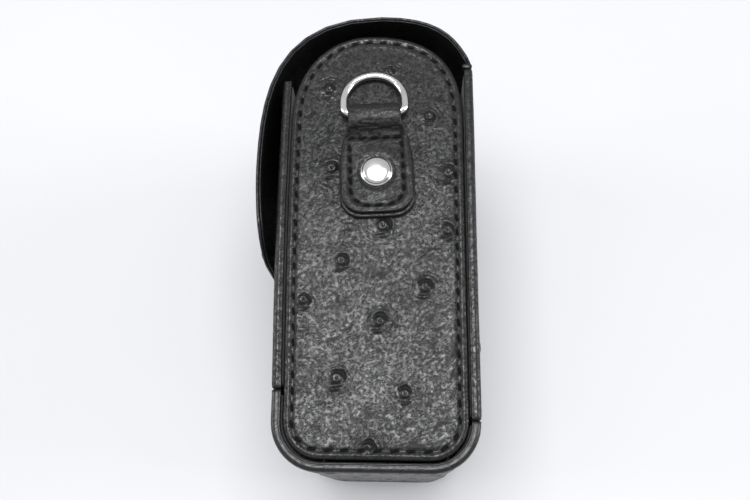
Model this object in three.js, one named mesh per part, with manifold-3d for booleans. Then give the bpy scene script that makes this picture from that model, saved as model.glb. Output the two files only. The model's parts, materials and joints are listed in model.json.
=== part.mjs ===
import * as THREE from 'three';
import { mergeVertices } from 'three/addons/utils/BufferGeometryUtils.js';
import Module from 'manifold-3d';

// A leather ever ready case lying on its far side. Millimetres. X runs from the front wall to
// the back wall, Y from the case's bottom up to its flap, and Z from the far end panel up to
// the near one. The case's own zero is the middle of its bottom, on the far rim.

// Driving dimensions of the case.
const BODY_DEPTH = 48.7;
const BODY_LENGTH = 84;
const FRONT_TOP_Y = 100.7;
const BACK_TOP_Y = 104.6;
const ARCH_TOP_Y = 114.3;
const FRONT_FLARE = 1.7;
const BOTTOM_CORNER_RADIUS = 11.6;
const ARCH_CREST_X = -3;
const ARCH_HANDLES = { backRun: 13, backRise: 0.2, frontRun: 10.5, frontRise: 0.36 };
const FRONT_JOINT_Y = 18.8;
const BACK_JOINT_Y = 12.1;
const JOINT_GAP = 0.3;

// Thickness of each layer, from the outside in, and the gap between layers.
const WALL_LAYERS = { leather: 0.9, board: 0.7, lining: 0.5 };
const END_LAYERS = { leather: 1, board: 0.9, lining: 0.5 };
const FLAP_LAYERS = { leather: 0.75, lining: 0.4 };
const LAYER_GAP = 0.1;
const WALL_THICKNESS = 2.3;
const END_PANEL_CLEARANCE = 0.5;
const END_PANEL_RECESS = 0.2;

// The flap, seen along the case: it springs from the back wall's top, arches over the end
// panels and hangs down the front to a tongue with round corners.
const FLAP_ROOT_Y = 105.5;
const FLAP_TOP = { x: 0, y: 119.6 };
const FLAP_FRONT = { x: -31.65, y: 77 };
const FLAP_TIP = { x: -29.7, y: 51.5 };
const FLAP_OVERHANG = 1;
const FLAP_ROOT_PULL = { x: -3.1, y: 4.5 };
const FLAP_HANDLES = { topBack: 19, topFront: 31.2, frontUp: 15.5, frontDown: 8, tip: 10 };
const FLAP_CORNER_RADIUS = 13;

// Strap anchors, one on each end panel: a folded leather tab that holds a D-ring.
const ANCHOR = { x: -0.6, y: 72.9, lean: THREE.MathUtils.degToRad(2.8) };
const TAB_THICKNESS = 1.2;
const TAB_GAP = 0.15;
const TAB_HALF_WIDTH = 9.5;
const TAB_BOTTOM = -10.8;
const TAB_UNDER_STEP = 0.8;
const TAB_SHOULDER = 10;
const TAB_NECK = 13.2;
const LOOP_HALF_WIDTH = 6.7;
const BAR_HEIGHT = 16.7;
const WIRE_RADIUS = 1;
const RING_RADIUS = 8;
const RING_CORNER_RADIUS = 2;
const RING_BOW_RISE = 3.5;
const RING_REST_TILT = THREE.MathUtils.degToRad(5);
const RING_BUTT_GAP = 0.4;

// Rivets and the press snap.
const RIVET = { capRadius: 4.05, domeHeight: 1.5, shankRadius: 1.5, holeRadius: 1.8 };
const RIVET_WASHER = { radius: 4.5, thickness: 0.6 };
const SNAP = { y: 64, shankRadius: 1.5, holeRadius: 1.8, baseRadius: 4.5, knobRadius: 2.2 };
const SNAP_BASE_THICKNESS = 0.6;
const SNAP_KNOB_HEIGHT = 1.7;
const SOCKET = { radius: 5, innerRadius: 2.6, height: 1.6 };

const ROUND_SIDES = 24;
const CURVE_STEPS = 10;
const WIRE_STEPS = 44;
const WIRE_QUARTER_SIDES = 5;

const wasm = await Module();
wasm.setup();

// Finishes, one for each kind of material in the case.
const FINISHES = {
  blackLeather: { color: 0x141314, roughness: 0.42, metalness: 0 },
  leatherBack: { color: 0x2b2725, roughness: 0.85, metalness: 0 },
  board: { color: 0x6b5a45, roughness: 0.9, metalness: 0 },
  suede: { color: 0x1c1b1c, roughness: 0.95, metalness: 0 },
  nickel: { color: 0xc9c8c4, roughness: 0.25, metalness: 1 },
  steel: { color: 0x8e8f90, roughness: 0.4, metalness: 1 },
};

function namedMesh(name, geometry, finish) {
  const mesh = new THREE.Mesh(geometry, new THREE.MeshStandardMaterial(FINISHES[finish]));
  mesh.name = name;
  return mesh;
}

// --- solids -------------------------------------------------------------------------------

function toSolid(geometry) {
  const bare = geometry.clone();
  bare.deleteAttribute('normal');
  bare.deleteAttribute('uv');
  const merged = mergeVertices(bare, 1e-4);
  const vertProperties = new Float32Array(merged.attributes.position.array);
  const triVerts = new Uint32Array(merged.index.array);
  return new wasm.Manifold(new wasm.Mesh({ numProp: 3, vertProperties, triVerts }));
}

function toGeometry(solid) {
  const mesh = solid.getMesh();
  const geometry = new THREE.BufferGeometry();
  geometry.setAttribute('position', new THREE.BufferAttribute(mesh.vertProperties, 3));
  geometry.setIndex(new THREE.BufferAttribute(mesh.triVerts, 1));
  geometry.computeVertexNormals();
  return geometry;
}

function cut(geometry, ...tools) {
  return toGeometry(tools.reduce((solid, tool) => solid.subtract(toSolid(tool)), toSolid(geometry)));
}

function common(geometry, tool) {
  return toGeometry(toSolid(geometry).intersect(toSolid(tool)));
}

function extrudeZ(shape, from, to, curveSegments = CURVE_STEPS) {
  const options = { depth: to - from, bevelEnabled: false, curveSegments };
  return new THREE.ExtrudeGeometry(shape, options).translate(0, 0, from);
}

// A turned profile, [radius, height] points on the axis at both ends, standing along Z.
function turned(points) {
  const profile = points.map(([radius, height]) => new THREE.Vector2(radius, height));
  return new THREE.LatheGeometry(profile, ROUND_SIDES).rotateX(Math.PI / 2);
}

// --- outlines -----------------------------------------------------------------------------

// A path's points, without those that repeat the one before.
function pathPoints(path) {
  const points = path.getPoints(CURVE_STEPS);
  return points.filter((point, index) => !index || point.distanceTo(points[index - 1]) > 1e-3);
}

// Moves an open line of points to its left by a distance, keeping corners mitred.
function offsetLine(points, distance) {
  return points.map((point, index) => {
    const before = points[Math.max(index - 1, 0)];
    const after = points[Math.min(index + 1, points.length - 1)];
    const into = (index > 0 ? point.clone().sub(before) : after.clone().sub(point)).normalize();
    const out = (index < points.length - 1 ? after.clone().sub(point) : into.clone()).normalize();
    const normal = new THREE.Vector2(-into.y - out.y, into.x + out.x).normalize();
    const stretch = 1 / (normal.x * -into.y + normal.y * into.x);
    return point.clone().addScaledVector(normal, distance * stretch);
  });
}

// The closed outline between two offsets of the same line.
function ribbonShape(points, near, far) {
  const outer = offsetLine(points, near);
  const inner = offsetLine(points, far);
  return new THREE.Shape([...outer, ...inner.reverse()]);
}

function frontLine() {
  const half = BODY_DEPTH / 2;
  const top = new THREE.Vector2(-half - FRONT_FLARE, FRONT_TOP_Y);
  const foot = new THREE.Vector2(-half - 0.1, FRONT_JOINT_Y);
  const upper = new THREE.Vector2(-half - FRONT_FLARE - 0.2, FRONT_TOP_Y * 0.62);
  const lower = new THREE.Vector2(-half - FRONT_FLARE * 0.5, FRONT_TOP_Y * 0.4);
  return new THREE.CubicBezierCurve(top, upper, lower, foot).getPoints(CURVE_STEPS);
}

function bottomLine() {
  const half = BODY_DEPTH / 2;
  const radius = BOTTOM_CORNER_RADIUS;
  const path = new THREE.Path();
  path.moveTo(-half - 0.1, FRONT_JOINT_Y - JOINT_GAP);
  path.lineTo(-half, radius);
  path.absarc(-half + radius, radius, radius, Math.PI, 1.5 * Math.PI);
  path.absarc(half - radius, radius, radius, -0.5 * Math.PI, 0);
  path.lineTo(half, BACK_JOINT_Y - JOINT_GAP);
  return pathPoints(path);
}

function backLine() {
  const half = BODY_DEPTH / 2;
  return [new THREE.Vector2(half, BACK_JOINT_Y), new THREE.Vector2(half, BACK_TOP_Y)];
}

// The flap's outer line, from its root on the back wall round to the tongue's edge.
function flapLine() {
  const root = new THREE.Vector2(BODY_DEPTH / 2 - 0.3, FLAP_ROOT_Y);
  const top = new THREE.Vector2(FLAP_TOP.x, FLAP_TOP.y);
  const front = new THREE.Vector2(FLAP_FRONT.x, FLAP_FRONT.y);
  const tip = new THREE.Vector2(FLAP_TIP.x, FLAP_TIP.y);
  const path = new THREE.Path();
  path.moveTo(root.x, root.y);
  const pull = FLAP_HANDLES;
  const lead = new THREE.Vector2(FLAP_ROOT_PULL.x, FLAP_ROOT_PULL.y).add(root);
  path.bezierCurveTo(lead.x, lead.y, top.x + pull.topBack, top.y, top.x, top.y);
  path.bezierCurveTo(top.x - pull.topFront, top.y, front.x, front.y + pull.frontUp, front.x, front.y);
  path.bezierCurveTo(front.x, front.y - pull.frontDown, tip.x - 1, tip.y + pull.tip, tip.x, tip.y);
  return pathPoints(path);
}

// An end panel's outline: the walls' inner line, closed by the arch.
function endShape(inset) {
  const half = BODY_DEPTH / 2;
  const wall = WALL_THICKNESS + END_PANEL_CLEARANCE + inset;
  const sides = offsetLine([...frontLine(), ...bottomLine()], wall);
  const spring = { left: sides[1].x, right: half - wall, y: sides[1].y };
  const top = { x: ARCH_CREST_X, y: ARCH_TOP_Y - inset };
  const rise = top.y - spring.y;
  const { backRun, backRise, frontRun, frontRise } = ARCH_HANDLES;
  const shape = new THREE.Shape(sides.slice(1, -1));
  shape.lineTo(spring.right, spring.y);
  shape.bezierCurveTo(spring.right, top.y - rise * backRise, top.x + backRun, top.y, top.x, top.y);
  shape.bezierCurveTo(top.x - frontRun, top.y, spring.left, top.y - rise * frontRise, spring.left, spring.y);
  return shape;
}

// --- wall panels --------------------------------------------------------------------------

function snapHole() {
  const hole = new THREE.CylinderGeometry(SNAP.holeRadius, SNAP.holeRadius, 20, ROUND_SIDES);
  hole.rotateZ(Math.PI / 2);
  return hole.translate(-BODY_DEPTH / 2 - FRONT_FLARE, SNAP.y, BODY_LENGTH / 2);
}

function wallPanel(panel, line, holes = []) {
  const group = new THREE.Group();
  let depth = 0;
  for (const [layer, thickness] of Object.entries(WALL_LAYERS)) {
    const shape = ribbonShape(line, depth, depth + thickness);
    const plain = extrudeZ(shape, 0, BODY_LENGTH);
    const geometry = holes.length ? cut(plain, ...holes) : plain;
    const finish = { leather: 'blackLeather', board: 'board', lining: 'suede' }[layer];
    group.add(namedMesh(`${panel}_${layer}`, geometry, finish));
    depth += thickness + LAYER_GAP;
  }
  return group;
}

// --- end panels ---------------------------------------------------------------------------

// One end panel, built with its outer face up at z = 0 and its layers going down.
function endPanel(end) {
  const group = new THREE.Group();
  let depth = 0;
  for (const [layer, thickness] of Object.entries(END_LAYERS)) {
    const shape = endShape(layer === 'board' ? 0.5 : 0);
    shape.holes.push(new THREE.Path().absarc(ANCHOR.x, ANCHOR.y, RIVET.holeRadius, 0, 2 * Math.PI));
    const geometry = extrudeZ(shape, -depth - thickness, -depth);
    const finish = { leather: 'blackLeather', board: 'board', lining: 'suede' }[layer];
    group.add(namedMesh(`${end}_end_${layer}`, geometry, finish));
    depth += thickness + LAYER_GAP;
  }
  return group;
}

// --- flap ---------------------------------------------------------------------------------

// The flap laid along X: a wide strip whose free edge has round corners.
function flapPlan() {
  const low = -FLAP_OVERHANG;
  const high = BODY_LENGTH + FLAP_OVERHANG;
  const radius = FLAP_CORNER_RADIUS;
  const shape = new THREE.Shape();
  shape.moveTo(FLAP_TOP.y + 5, low);
  shape.lineTo(FLAP_TOP.y + 5, high);
  shape.lineTo(FLAP_TIP.y + radius, high);
  shape.absarc(FLAP_TIP.y + radius, high - radius, radius, 0.5 * Math.PI, Math.PI);
  shape.absarc(FLAP_TIP.y + radius, low + radius, radius, Math.PI, 1.5 * Math.PI);
  const plan = new THREE.ExtrudeGeometry(shape, { depth: 100, bevelEnabled: false });
  plan.applyMatrix4(new THREE.Matrix4().set(0, 0, 1, -50, 1, 0, 0, 0, 0, 1, 0, 0, 0, 0, 0, 1));
  return plan;
}

function flapLayer(name, near, far, finish) {
  const strip = extrudeZ(ribbonShape(flapLine(), near, far), -5, BODY_LENGTH + 5);
  return namedMesh(name, common(strip, flapPlan()), finish);
}

function flap() {
  const group = new THREE.Group();
  const liningFrom = FLAP_LAYERS.leather + LAYER_GAP;
  const liningTo = liningFrom + FLAP_LAYERS.lining;
  group.add(flapLayer('flap_leather', 0, FLAP_LAYERS.leather, 'blackLeather'));
  group.add(flapLayer('flap_lining', liningFrom, liningTo, 'suede'));
  return group;
}

// --- press snap ---------------------------------------------------------------------------

function frontFaceX(y) {
  const line = frontLine();
  const after = line.findIndex((point) => point.y < y);
  const [high, low] = [line[after - 1], line[after]];
  return THREE.MathUtils.mapLinear(y, low.y, high.y, low.x, high.x);
}

function flapFaceX(y) {
  const line = offsetLine(flapLine(), FLAP_LAYERS.leather + LAYER_GAP + FLAP_LAYERS.lining);
  const after = line.findIndex((point, index) => index > CURVE_STEPS && point.y < y);
  const [high, low] = [line[after - 1], line[after]];
  return THREE.MathUtils.mapLinear(y, low.y, high.y, low.x, high.x);
}

// Built along Z with the wall's outer face at z = 0 and the knob up.
function snapStudGeometry() {
  const inside = WALL_THICKNESS + SNAP_BASE_THICKNESS;
  const top = SNAP_BASE_THICKNESS + SNAP_KNOB_HEIGHT;
  return turned([
    [0, -inside],
    [SNAP.shankRadius, -inside],
    [SNAP.shankRadius, LAYER_GAP],
    [SNAP.baseRadius, LAYER_GAP],
    [SNAP.baseRadius, SNAP_BASE_THICKNESS],
    [SNAP.knobRadius * 0.8, SNAP_BASE_THICKNESS + 0.1],
    [SNAP.knobRadius, top - 0.5],
    [SNAP.knobRadius * 0.7, top],
    [0, top],
  ]);
}

function ringDisc(outer, inner, height) {
  const shape = new THREE.Shape().absarc(0, 0, outer, 0, 2 * Math.PI);
  shape.holes.push(new THREE.Path().absarc(0, 0, inner, 0, 2 * Math.PI));
  return extrudeZ(shape, 0, height, ROUND_SIDES / 2);
}

// Turns a piece built along Z to face the front, and puts its zero on the snap's line.
function placeOnFront(mesh, x, lean = 0) {
  mesh.rotation.set(0, -Math.PI / 2, lean, 'ZYX');
  mesh.position.set(x, SNAP.y, BODY_LENGTH / 2);
  return mesh;
}

function snapStud() {
  const stud = namedMesh('snap_stud', snapStudGeometry(), 'nickel');
  return placeOnFront(stud, frontFaceX(SNAP.y));
}

function snapBackWasher() {
  const geometry = ringDisc(SNAP.baseRadius, SNAP.holeRadius, SNAP_BASE_THICKNESS);
  const x = frontFaceX(SNAP.y) + WALL_THICKNESS + SNAP_BASE_THICKNESS + LAYER_GAP;
  return placeOnFront(namedMesh('snap_back_washer', geometry, 'steel'), x);
}

// The socket lies flat on the flap's lining, which leans a little at this height.
function snapSocket() {
  const geometry = ringDisc(SOCKET.radius, SOCKET.innerRadius, SOCKET.height);
  const above = flapFaceX(SNAP.y + SOCKET.radius);
  const below = flapFaceX(SNAP.y - SOCKET.radius);
  const lean = Math.atan2(below - above, 2 * SOCKET.radius);
  const x = (above + below) / 2 + LAYER_GAP * 2 + SOCKET.height;
  return placeOnFront(namedMesh('snap_socket', geometry, 'nickel'), x, lean);
}

// --- strap anchors ------------------------------------------------------------------------
// An anchor is built lying on the plane z = 0, with its rivet at the origin and its ring
// towards +Y.

const UNDER_LEAF_Z = TAB_GAP + TAB_THICKNESS / 2;
const UPPER_LEAF_Z = UNDER_LEAF_Z + TAB_THICKNESS + TAB_GAP;
const BAR_Z = UNDER_LEAF_Z + TAB_THICKNESS / 2 + TAB_GAP + WIRE_RADIUS;
const LOOP_RADIUS = WIRE_RADIUS + TAB_GAP + TAB_THICKNESS / 2;

// The strip's middle line, in the (Y, Z) plane: under leaf, round the bar, upper leaf.
function tabLine() {
  const path = new THREE.Path();
  path.moveTo(TAB_BOTTOM - TAB_UNDER_STEP, UNDER_LEAF_Z);
  path.absarc(BAR_HEIGHT, BAR_Z, LOOP_RADIUS, -0.5 * Math.PI, 0.55 * Math.PI);
  const crest = path.currentPoint.clone();
  path.bezierCurveTo(crest.x - 1.4, crest.y - 0.2, TAB_NECK + 1.3, UPPER_LEAF_Z, TAB_NECK, UPPER_LEAF_Z);
  path.lineTo(TAB_BOTTOM, UPPER_LEAF_Z);
  return pathPoints(path);
}

// The tab seen from above, with its rivet hole.
function tabPlan() {
  const bottom = TAB_BOTTOM - TAB_UNDER_STEP;
  const corner = 5.5;
  const wide = TAB_HALF_WIDTH;
  const top = BAR_HEIGHT + LOOP_RADIUS + TAB_THICKNESS;
  const shape = new THREE.Shape();
  shape.moveTo(-wide + corner, bottom);
  shape.lineTo(wide - corner, bottom);
  shape.quadraticCurveTo(wide, bottom, wide, bottom + corner);
  shape.bezierCurveTo(wide, 4, TAB_HALF_WIDTH - 0.6, TAB_SHOULDER - 2, wide - 1, TAB_SHOULDER);
  shape.quadraticCurveTo(wide - 1.6, TAB_NECK - 1, LOOP_HALF_WIDTH, TAB_NECK);
  shape.lineTo(LOOP_HALF_WIDTH, top);
  shape.lineTo(-LOOP_HALF_WIDTH, top);
  shape.lineTo(-LOOP_HALF_WIDTH, TAB_NECK);
  shape.quadraticCurveTo(-wide + 1.6, TAB_NECK - 1, -wide + 1, TAB_SHOULDER);
  shape.bezierCurveTo(-wide + 0.6, TAB_SHOULDER - 2, -wide, 4, -wide, bottom + corner);
  shape.quadraticCurveTo(-wide, bottom, -wide + corner, bottom);
  shape.holes.push(new THREE.Path().absarc(0, 0, RIVET.holeRadius, 0, 2 * Math.PI));
  return extrudeZ(shape, -1, 8);
}

function tabGeometry() {
  const half = TAB_THICKNESS / 2;
  const width = 2 * TAB_HALF_WIDTH + 2;
  const strip = extrudeZ(ribbonShape(tabLine(), -half, half), 0, width);
  strip.applyMatrix4(new THREE.Matrix4().set(0, 0, 1, -width / 2, 1, 0, 0, 0, 0, 1, 0, 0, 0, 0, 0, 1));
  return common(strip, tabPlan());
}

// The ring's wire line around its bar, starting and ending at the butt joint in the bar.
function ringCurve() {
  const corner = RING_CORNER_RADIUS;
  const side = RING_RADIUS;
  const at = (x, y) => new THREE.Vector3(x, y, 0);
  const curve = new THREE.CurvePath();
  const bow = [];
  for (let step = 0; step <= CURVE_STEPS; step += 1) {
    const angle = (Math.PI * step) / CURVE_STEPS;
    bow.push(at(side * Math.cos(angle), RING_BOW_RISE + side * Math.sin(angle)));
  }
  curve.add(new THREE.LineCurve3(at(RING_BUTT_GAP / 2, 0), at(side - corner, 0)));
  curve.add(new THREE.QuadraticBezierCurve3(at(side - corner, 0), at(side, 0), at(side, corner)));
  curve.add(new THREE.LineCurve3(at(side, corner), bow[0]));
  curve.add(new THREE.CatmullRomCurve3(bow, false, 'centripetal'));
  curve.add(new THREE.LineCurve3(bow[bow.length - 1], at(-side, corner)));
  curve.add(new THREE.QuadraticBezierCurve3(at(-side, corner), at(-side, 0), at(-side + corner, 0)));
  curve.add(new THREE.LineCurve3(at(-side + corner, 0), at(-RING_BUTT_GAP / 2, 0)));
  return curve;
}

function ringGeometry() {
  const section = new THREE.Shape().absarc(0, 0, WIRE_RADIUS, 0, 2 * Math.PI);
  const options = {
    steps: WIRE_STEPS,
    curveSegments: WIRE_QUARTER_SIDES,
    extrudePath: ringCurve(),
    bevelEnabled: false,
  };
  return new THREE.ExtrudeGeometry(section, options);
}

function rivetGeometry() {
  const under = UPPER_LEAF_Z + TAB_THICKNESS / 2 + LAYER_GAP;
  const panel = END_LAYERS.leather + END_LAYERS.board + END_LAYERS.lining + 2 * LAYER_GAP;
  const foot = -panel - RIVET_WASHER.thickness - LAYER_GAP;
  const points = [[0, foot], [RIVET.shankRadius, foot], [RIVET.shankRadius, under], [RIVET.capRadius, under]];
  const rim = 0.3;
  for (let step = 0; step <= CURVE_STEPS; step += 1) {
    const angle = (0.5 * Math.PI * step) / CURVE_STEPS;
    points.push([RIVET.capRadius * Math.cos(angle), under + rim + RIVET.domeHeight * Math.sin(angle)]);
  }
  points[points.length - 1][0] = 0;
  return turned(points);
}

function strapAnchor(end) {
  const group = new THREE.Group();
  const panel = END_LAYERS.leather + END_LAYERS.board + END_LAYERS.lining + 2 * LAYER_GAP;
  group.add(namedMesh(`${end}_strap_tab`, tabGeometry(), 'blackLeather'));
  group.add(namedMesh(`${end}_rivet_cap`, rivetGeometry(), 'nickel'));
  const washer = ringDisc(RIVET_WASHER.radius, RIVET.holeRadius, RIVET_WASHER.thickness);
  washer.translate(0, 0, -panel - LAYER_GAP - RIVET_WASHER.thickness);
  group.add(namedMesh(`${end}_rivet_washer`, washer, 'steel'));
  const ring = namedMesh(`${end}_d_ring`, ringGeometry(), 'nickel');
  ring.position.set(0, BAR_HEIGHT, BAR_Z);
  ring.rotation.x = -RING_REST_TILT;
  group.add(ring);
  group.position.set(ANCHOR.x, ANCHOR.y, 0);
  group.rotation.z = ANCHOR.lean;
  return group;
}

// --- assembly -----------------------------------------------------------------------------

// An end panel with its strap anchor. The far end is the near one turned to face down.
function caseEnd(end) {
  const group = new THREE.Group();
  group.add(endPanel(end));
  group.add(strapAnchor(end));
  if (end === 'near') {
    group.position.z = BODY_LENGTH - END_PANEL_RECESS;
  } else {
    group.position.z = END_PANEL_RECESS;
    group.scale.z = -1;
  }
  return group;
}

const body = new THREE.Group();
body.add(wallPanel('front_panel', frontLine(), [snapHole()]));
body.add(wallPanel('bottom_panel', bottomLine()));
body.add(wallPanel('back_panel', backLine()));
body.add(caseEnd('near'));
body.add(caseEnd('far'));
body.add(flap());
body.add(snapStud());
body.add(snapBackWasher());
body.add(snapSocket());

// The whole stands on z = 0 with the middle of its box over the origin.
const box = new THREE.Box3().setFromObject(body, true);
const middle = box.getCenter(new THREE.Vector3());
body.position.set(-middle.x, -middle.y, -box.min.z);

const everReadyCase = new THREE.Group();
everReadyCase.name = 'ever_ready_case';
everReadyCase.add(body);

export default everReadyCase;
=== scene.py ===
import math

import bmesh
import bpy
import numpy as np
from mathutils import Matrix, Vector
from mathutils.geometry import delaunay_2d_cdt
from mathutils.kdtree import KDTree
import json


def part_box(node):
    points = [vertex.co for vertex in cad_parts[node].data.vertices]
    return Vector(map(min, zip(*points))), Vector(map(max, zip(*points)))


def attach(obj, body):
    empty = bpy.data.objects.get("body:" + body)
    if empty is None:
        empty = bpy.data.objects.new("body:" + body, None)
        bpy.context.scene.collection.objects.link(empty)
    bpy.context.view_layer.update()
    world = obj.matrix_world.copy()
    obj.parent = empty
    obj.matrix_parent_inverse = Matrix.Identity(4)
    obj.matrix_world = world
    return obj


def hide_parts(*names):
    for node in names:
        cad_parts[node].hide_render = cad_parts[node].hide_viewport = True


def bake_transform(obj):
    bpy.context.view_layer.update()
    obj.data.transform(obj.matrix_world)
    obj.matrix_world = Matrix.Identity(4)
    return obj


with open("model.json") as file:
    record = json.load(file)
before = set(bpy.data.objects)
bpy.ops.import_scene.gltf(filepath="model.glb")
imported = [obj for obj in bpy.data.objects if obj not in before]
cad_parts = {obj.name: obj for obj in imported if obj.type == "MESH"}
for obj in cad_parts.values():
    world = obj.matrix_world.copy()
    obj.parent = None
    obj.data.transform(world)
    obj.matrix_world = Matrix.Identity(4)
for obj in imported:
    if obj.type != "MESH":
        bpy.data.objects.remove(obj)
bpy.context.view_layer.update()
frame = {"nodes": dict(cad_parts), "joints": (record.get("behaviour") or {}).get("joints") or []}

# A black ostrich-leather ever ready case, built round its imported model. The frame is in
# metres. Sizes below are in millimetres and are turned into metres where they are used.

MM = 0.001
JOINTS = {joint["name"]: joint for joint in frame["joints"]}
CASE_MIDDLE = [sum(corner[k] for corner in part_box("near_end_leather")) / 2 / MM for k in (0, 1)]
QUARTER = math.pi / 2

# Leather relief.
WRINKLE_DEPTH = 0.03
WRINKLE_SPACING = 0.8
WRINKLE_LENGTH = 4.0
WRINKLE_LEAN = math.radians(33)
WRINKLE_WANDER = 1.1
FINE_SHARE = 0.7
QUILL_SPACING = 17.0
QUILL_REACH = 8.0
QUILL = {"relief": 0.5, "nub": 0.75, "nick": 0.6, "moat": 1.15, "collar": 0.3, "fold": 1.1,
         "mound": 0.45}
# Broken rings round a quill: distance from its middle, width and depth.
QUILL_RINGS = ((2.5, 0.2, 0.4), (3.2, 0.2, 0.34), (4.1, 0.22, 0.26))
SWELL = 0.3
SEAM_FURROW, SEAM_RISE, SEAM_SHOULDER = 0.13, 0.22, 0.1
BORDER_CALM = 0.35
PIT = {"depth": 0.4, "half_length": 1.0, "half_width": 0.26, "reach": 2.0, "search": 1.1}

# Seeds of the noise and the scatter in each piece.
SEEDS = {"front": 11, "bottom": 12, "back": 13, "near": 21, "far": 22, "near_tab": 31, "far_tab": 32,
         "flap": 61, "fold": 71}

# Mesh spacing.
FINE_PITCH = 0.25
WALL_PITCH = 0.4
TAB_PITCH = 0.28
TAB_EDGE_PITCH = 0.25
PLAIN_PITCH = 2.0
LINING_PITCH = 1.2
LINE_PITCH = 0.3
GRID_MARGIN = 0.6

# Stitching.
PANEL_STITCH = {"inset": 2.05, "pitch": 3.85, "length": 2.0, "radius": 0.25, "lean": 0.2}
WALL_STITCH = {"inset": 3.0, "pitch": 3.85, "length": 2.1, "radius": 0.25, "lean": 0.16}
TAB_STITCH = {"pitch": 2.9, "length": 1.75, "radius": 0.24, "lean": 0.14}
THREAD_DEPTH, THREAD_DIVE = 0.16, 0.34

# Camera: where it stands over the near end panel's bottom centre, and how it is turned.
CAMERA_OFFSET = (7.9, -8.5, 179.0)
CAMERA_AZIMUTH = 7.58
CAMERA_ELEVATION = 71.7
CAMERA_ROLL = -6.97
CAMERA_LENS = 36.6
SENSOR_WIDTH = 36.0

# Studio: each light's place, target, size and power.
LIGHTS = {
    "overhead": ((0.0, 0.06, 0.8), (0, 0.03, 0), (0.5, 0.45), 5.4),
    "left": ((-1.2, 0.05, 0.42), (0, 0, 0.05), (0.5, 1.0), 4.8),
    "right": ((1.2, 0.05, 0.42), (0, 0, 0.05), (0.5, 1.0), 6.6),
}
FLOOR_TONES = (0.5, 0.5, 0.505), (0.53, 0.53, 0.535)
FLOOR_REACH = 6.0
WORLD_COLOR, WORLD_STRENGTH = (0.93, 0.95, 1.0, 1), 0.58
EXPOSURE, CONTRAST = 0.36, 0.86


# --- numbers ---

def smoothstep(value, low, high):
    t = np.clip((value - low) / (high - low), 0, 1)
    return t * t * (3 - 2 * t)


def bell(value, centre, width):
    return np.exp(-(((value - centre) / width) ** 2))


def lattice(ix, iy, iz, seed):
    """A repeatable random number from 0 to 1 at each whole-number place."""
    mask = 0xFFFFFFFF
    n = (ix * 374761393 + iy * 668265263 + iz * 1440662683 + seed * 1013904223) & mask
    n = ((n ^ (n >> 13)) * 1274126177) & mask
    return ((n ^ (n >> 16)) & 0xFFFF) / 65535.0


def noise(x, y, z, seed):
    """Smooth noise from 0 to 1, one bump per unit."""
    x, y, z = np.broadcast_arrays(x, y, z)
    fx, fy, fz = np.floor(x), np.floor(y), np.floor(z)
    ix, iy, iz = fx.astype(np.int64), fy.astype(np.int64), fz.astype(np.int64)
    tx, ty, tz = smoothstep(x - fx, 0, 1), smoothstep(y - fy, 0, 1), smoothstep(z - fz, 0, 1)
    total = np.zeros(x.shape)
    for dx in (0, 1):
        for dy in (0, 1):
            for dz in (0, 1):
                weight = (tx if dx else 1 - tx) * (ty if dy else 1 - ty) * (tz if dz else 1 - tz)
                total += weight * lattice(ix + dx, iy + dy, iz + dz, seed)
    return total


def creases(x, y, z, seed):
    """0 on rounded plateaus, rising to 1 in the thin folds between them."""
    ridge = 1 - np.abs(2 * noise(x, y, z, seed) - 1)
    return smoothstep(ridge, 0.7, 1.0)


# --- outlines in a flat plan ---

def distances_along(line):
    return np.concatenate([[0], np.cumsum(np.linalg.norm(np.diff(line, axis=0), axis=1))])


def resample(points, pitch, closed):
    """The same line with evenly spaced points."""
    points = np.asarray(points, float)
    if closed:
        points = np.vstack([points, points[:1]])
    along = distances_along(points)
    count = max(8, int(round(along[-1] / pitch)))
    wanted = np.linspace(0, along[-1], count + 1)
    out = np.stack([np.interp(wanted, along, points[:, k]) for k in range(points.shape[1])], 1)
    return out[:-1] if closed else out


def smooth_line(points, pitch, reach, closed):
    """The line rounded over a distance, so that the facets of its source don't show."""
    line = resample(points, pitch, closed)
    steps = max(1, int(round(reach / pitch)))
    kernel = np.hanning(2 * steps + 3)[1:-1]
    kernel /= kernel.sum()
    if closed:
        padded = np.vstack([line[-steps:], line, line[:steps]])
    else:
        head = 2 * line[0] - line[steps:0:-1]
        tail = 2 * line[-1] - line[-2:-steps - 2:-1]
        padded = np.vstack([head, line, tail])
    return np.stack([np.convolve(padded[:, k], kernel, "valid") for k in range(2)], 1)


def lengthened(line, extra):
    """The open line with both its ends carried straight on."""
    ends = [(line[0], line[0] - line[1]), (line[-1], line[-1] - line[-2])]
    first, last = (place + step / np.linalg.norm(step) * extra for place, step in ends)
    return np.vstack([first, line, last])


def tangents(line, closed):
    if closed:
        step = np.roll(line, -1, 0) - np.roll(line, 1, 0)
    else:
        step = np.gradient(line, axis=0)
    return step / np.linalg.norm(step, axis=1)[:, None]


def inward(line, closed=True):
    """Unit normals to the left of a line, which is inside where it runs anticlockwise."""
    t = tangents(line, closed)
    return np.stack([-t[:, 1], t[:, 0]], 1)


def rounded_rectangle(low, high, radii):
    """Anticlockwise corners of a rectangle, rounded; radii start at the low corner."""
    (x0, y0), (x1, y1) = low, high
    centres = [(x0, y0, 1, 1), (x1, y0, -1, 1), (x1, y1, -1, -1), (x0, y1, 1, -1)]
    points = []
    for corner, ((x, y, sx, sy), radius) in enumerate(zip(centres, radii)):
        for angle in np.linspace(math.pi, 1.5 * math.pi, 10) + corner * QUARTER:
            cx, cy = x + sx * radius, y + sy * radius
            points.append((cx + radius * math.cos(angle), cy + radius * math.sin(angle)))
    return np.array(points)


def rounded_outline(low, high, radii, pitch):
    return resample(rounded_rectangle(low, high, radii), pitch, True)


def plan_tree(points):
    """A search tree over points of a plan."""
    tree = KDTree(len(points))
    for index, (x, y) in enumerate(points):
        tree.insert((x, y, 0), index)
    tree.balance()
    return tree


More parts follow.
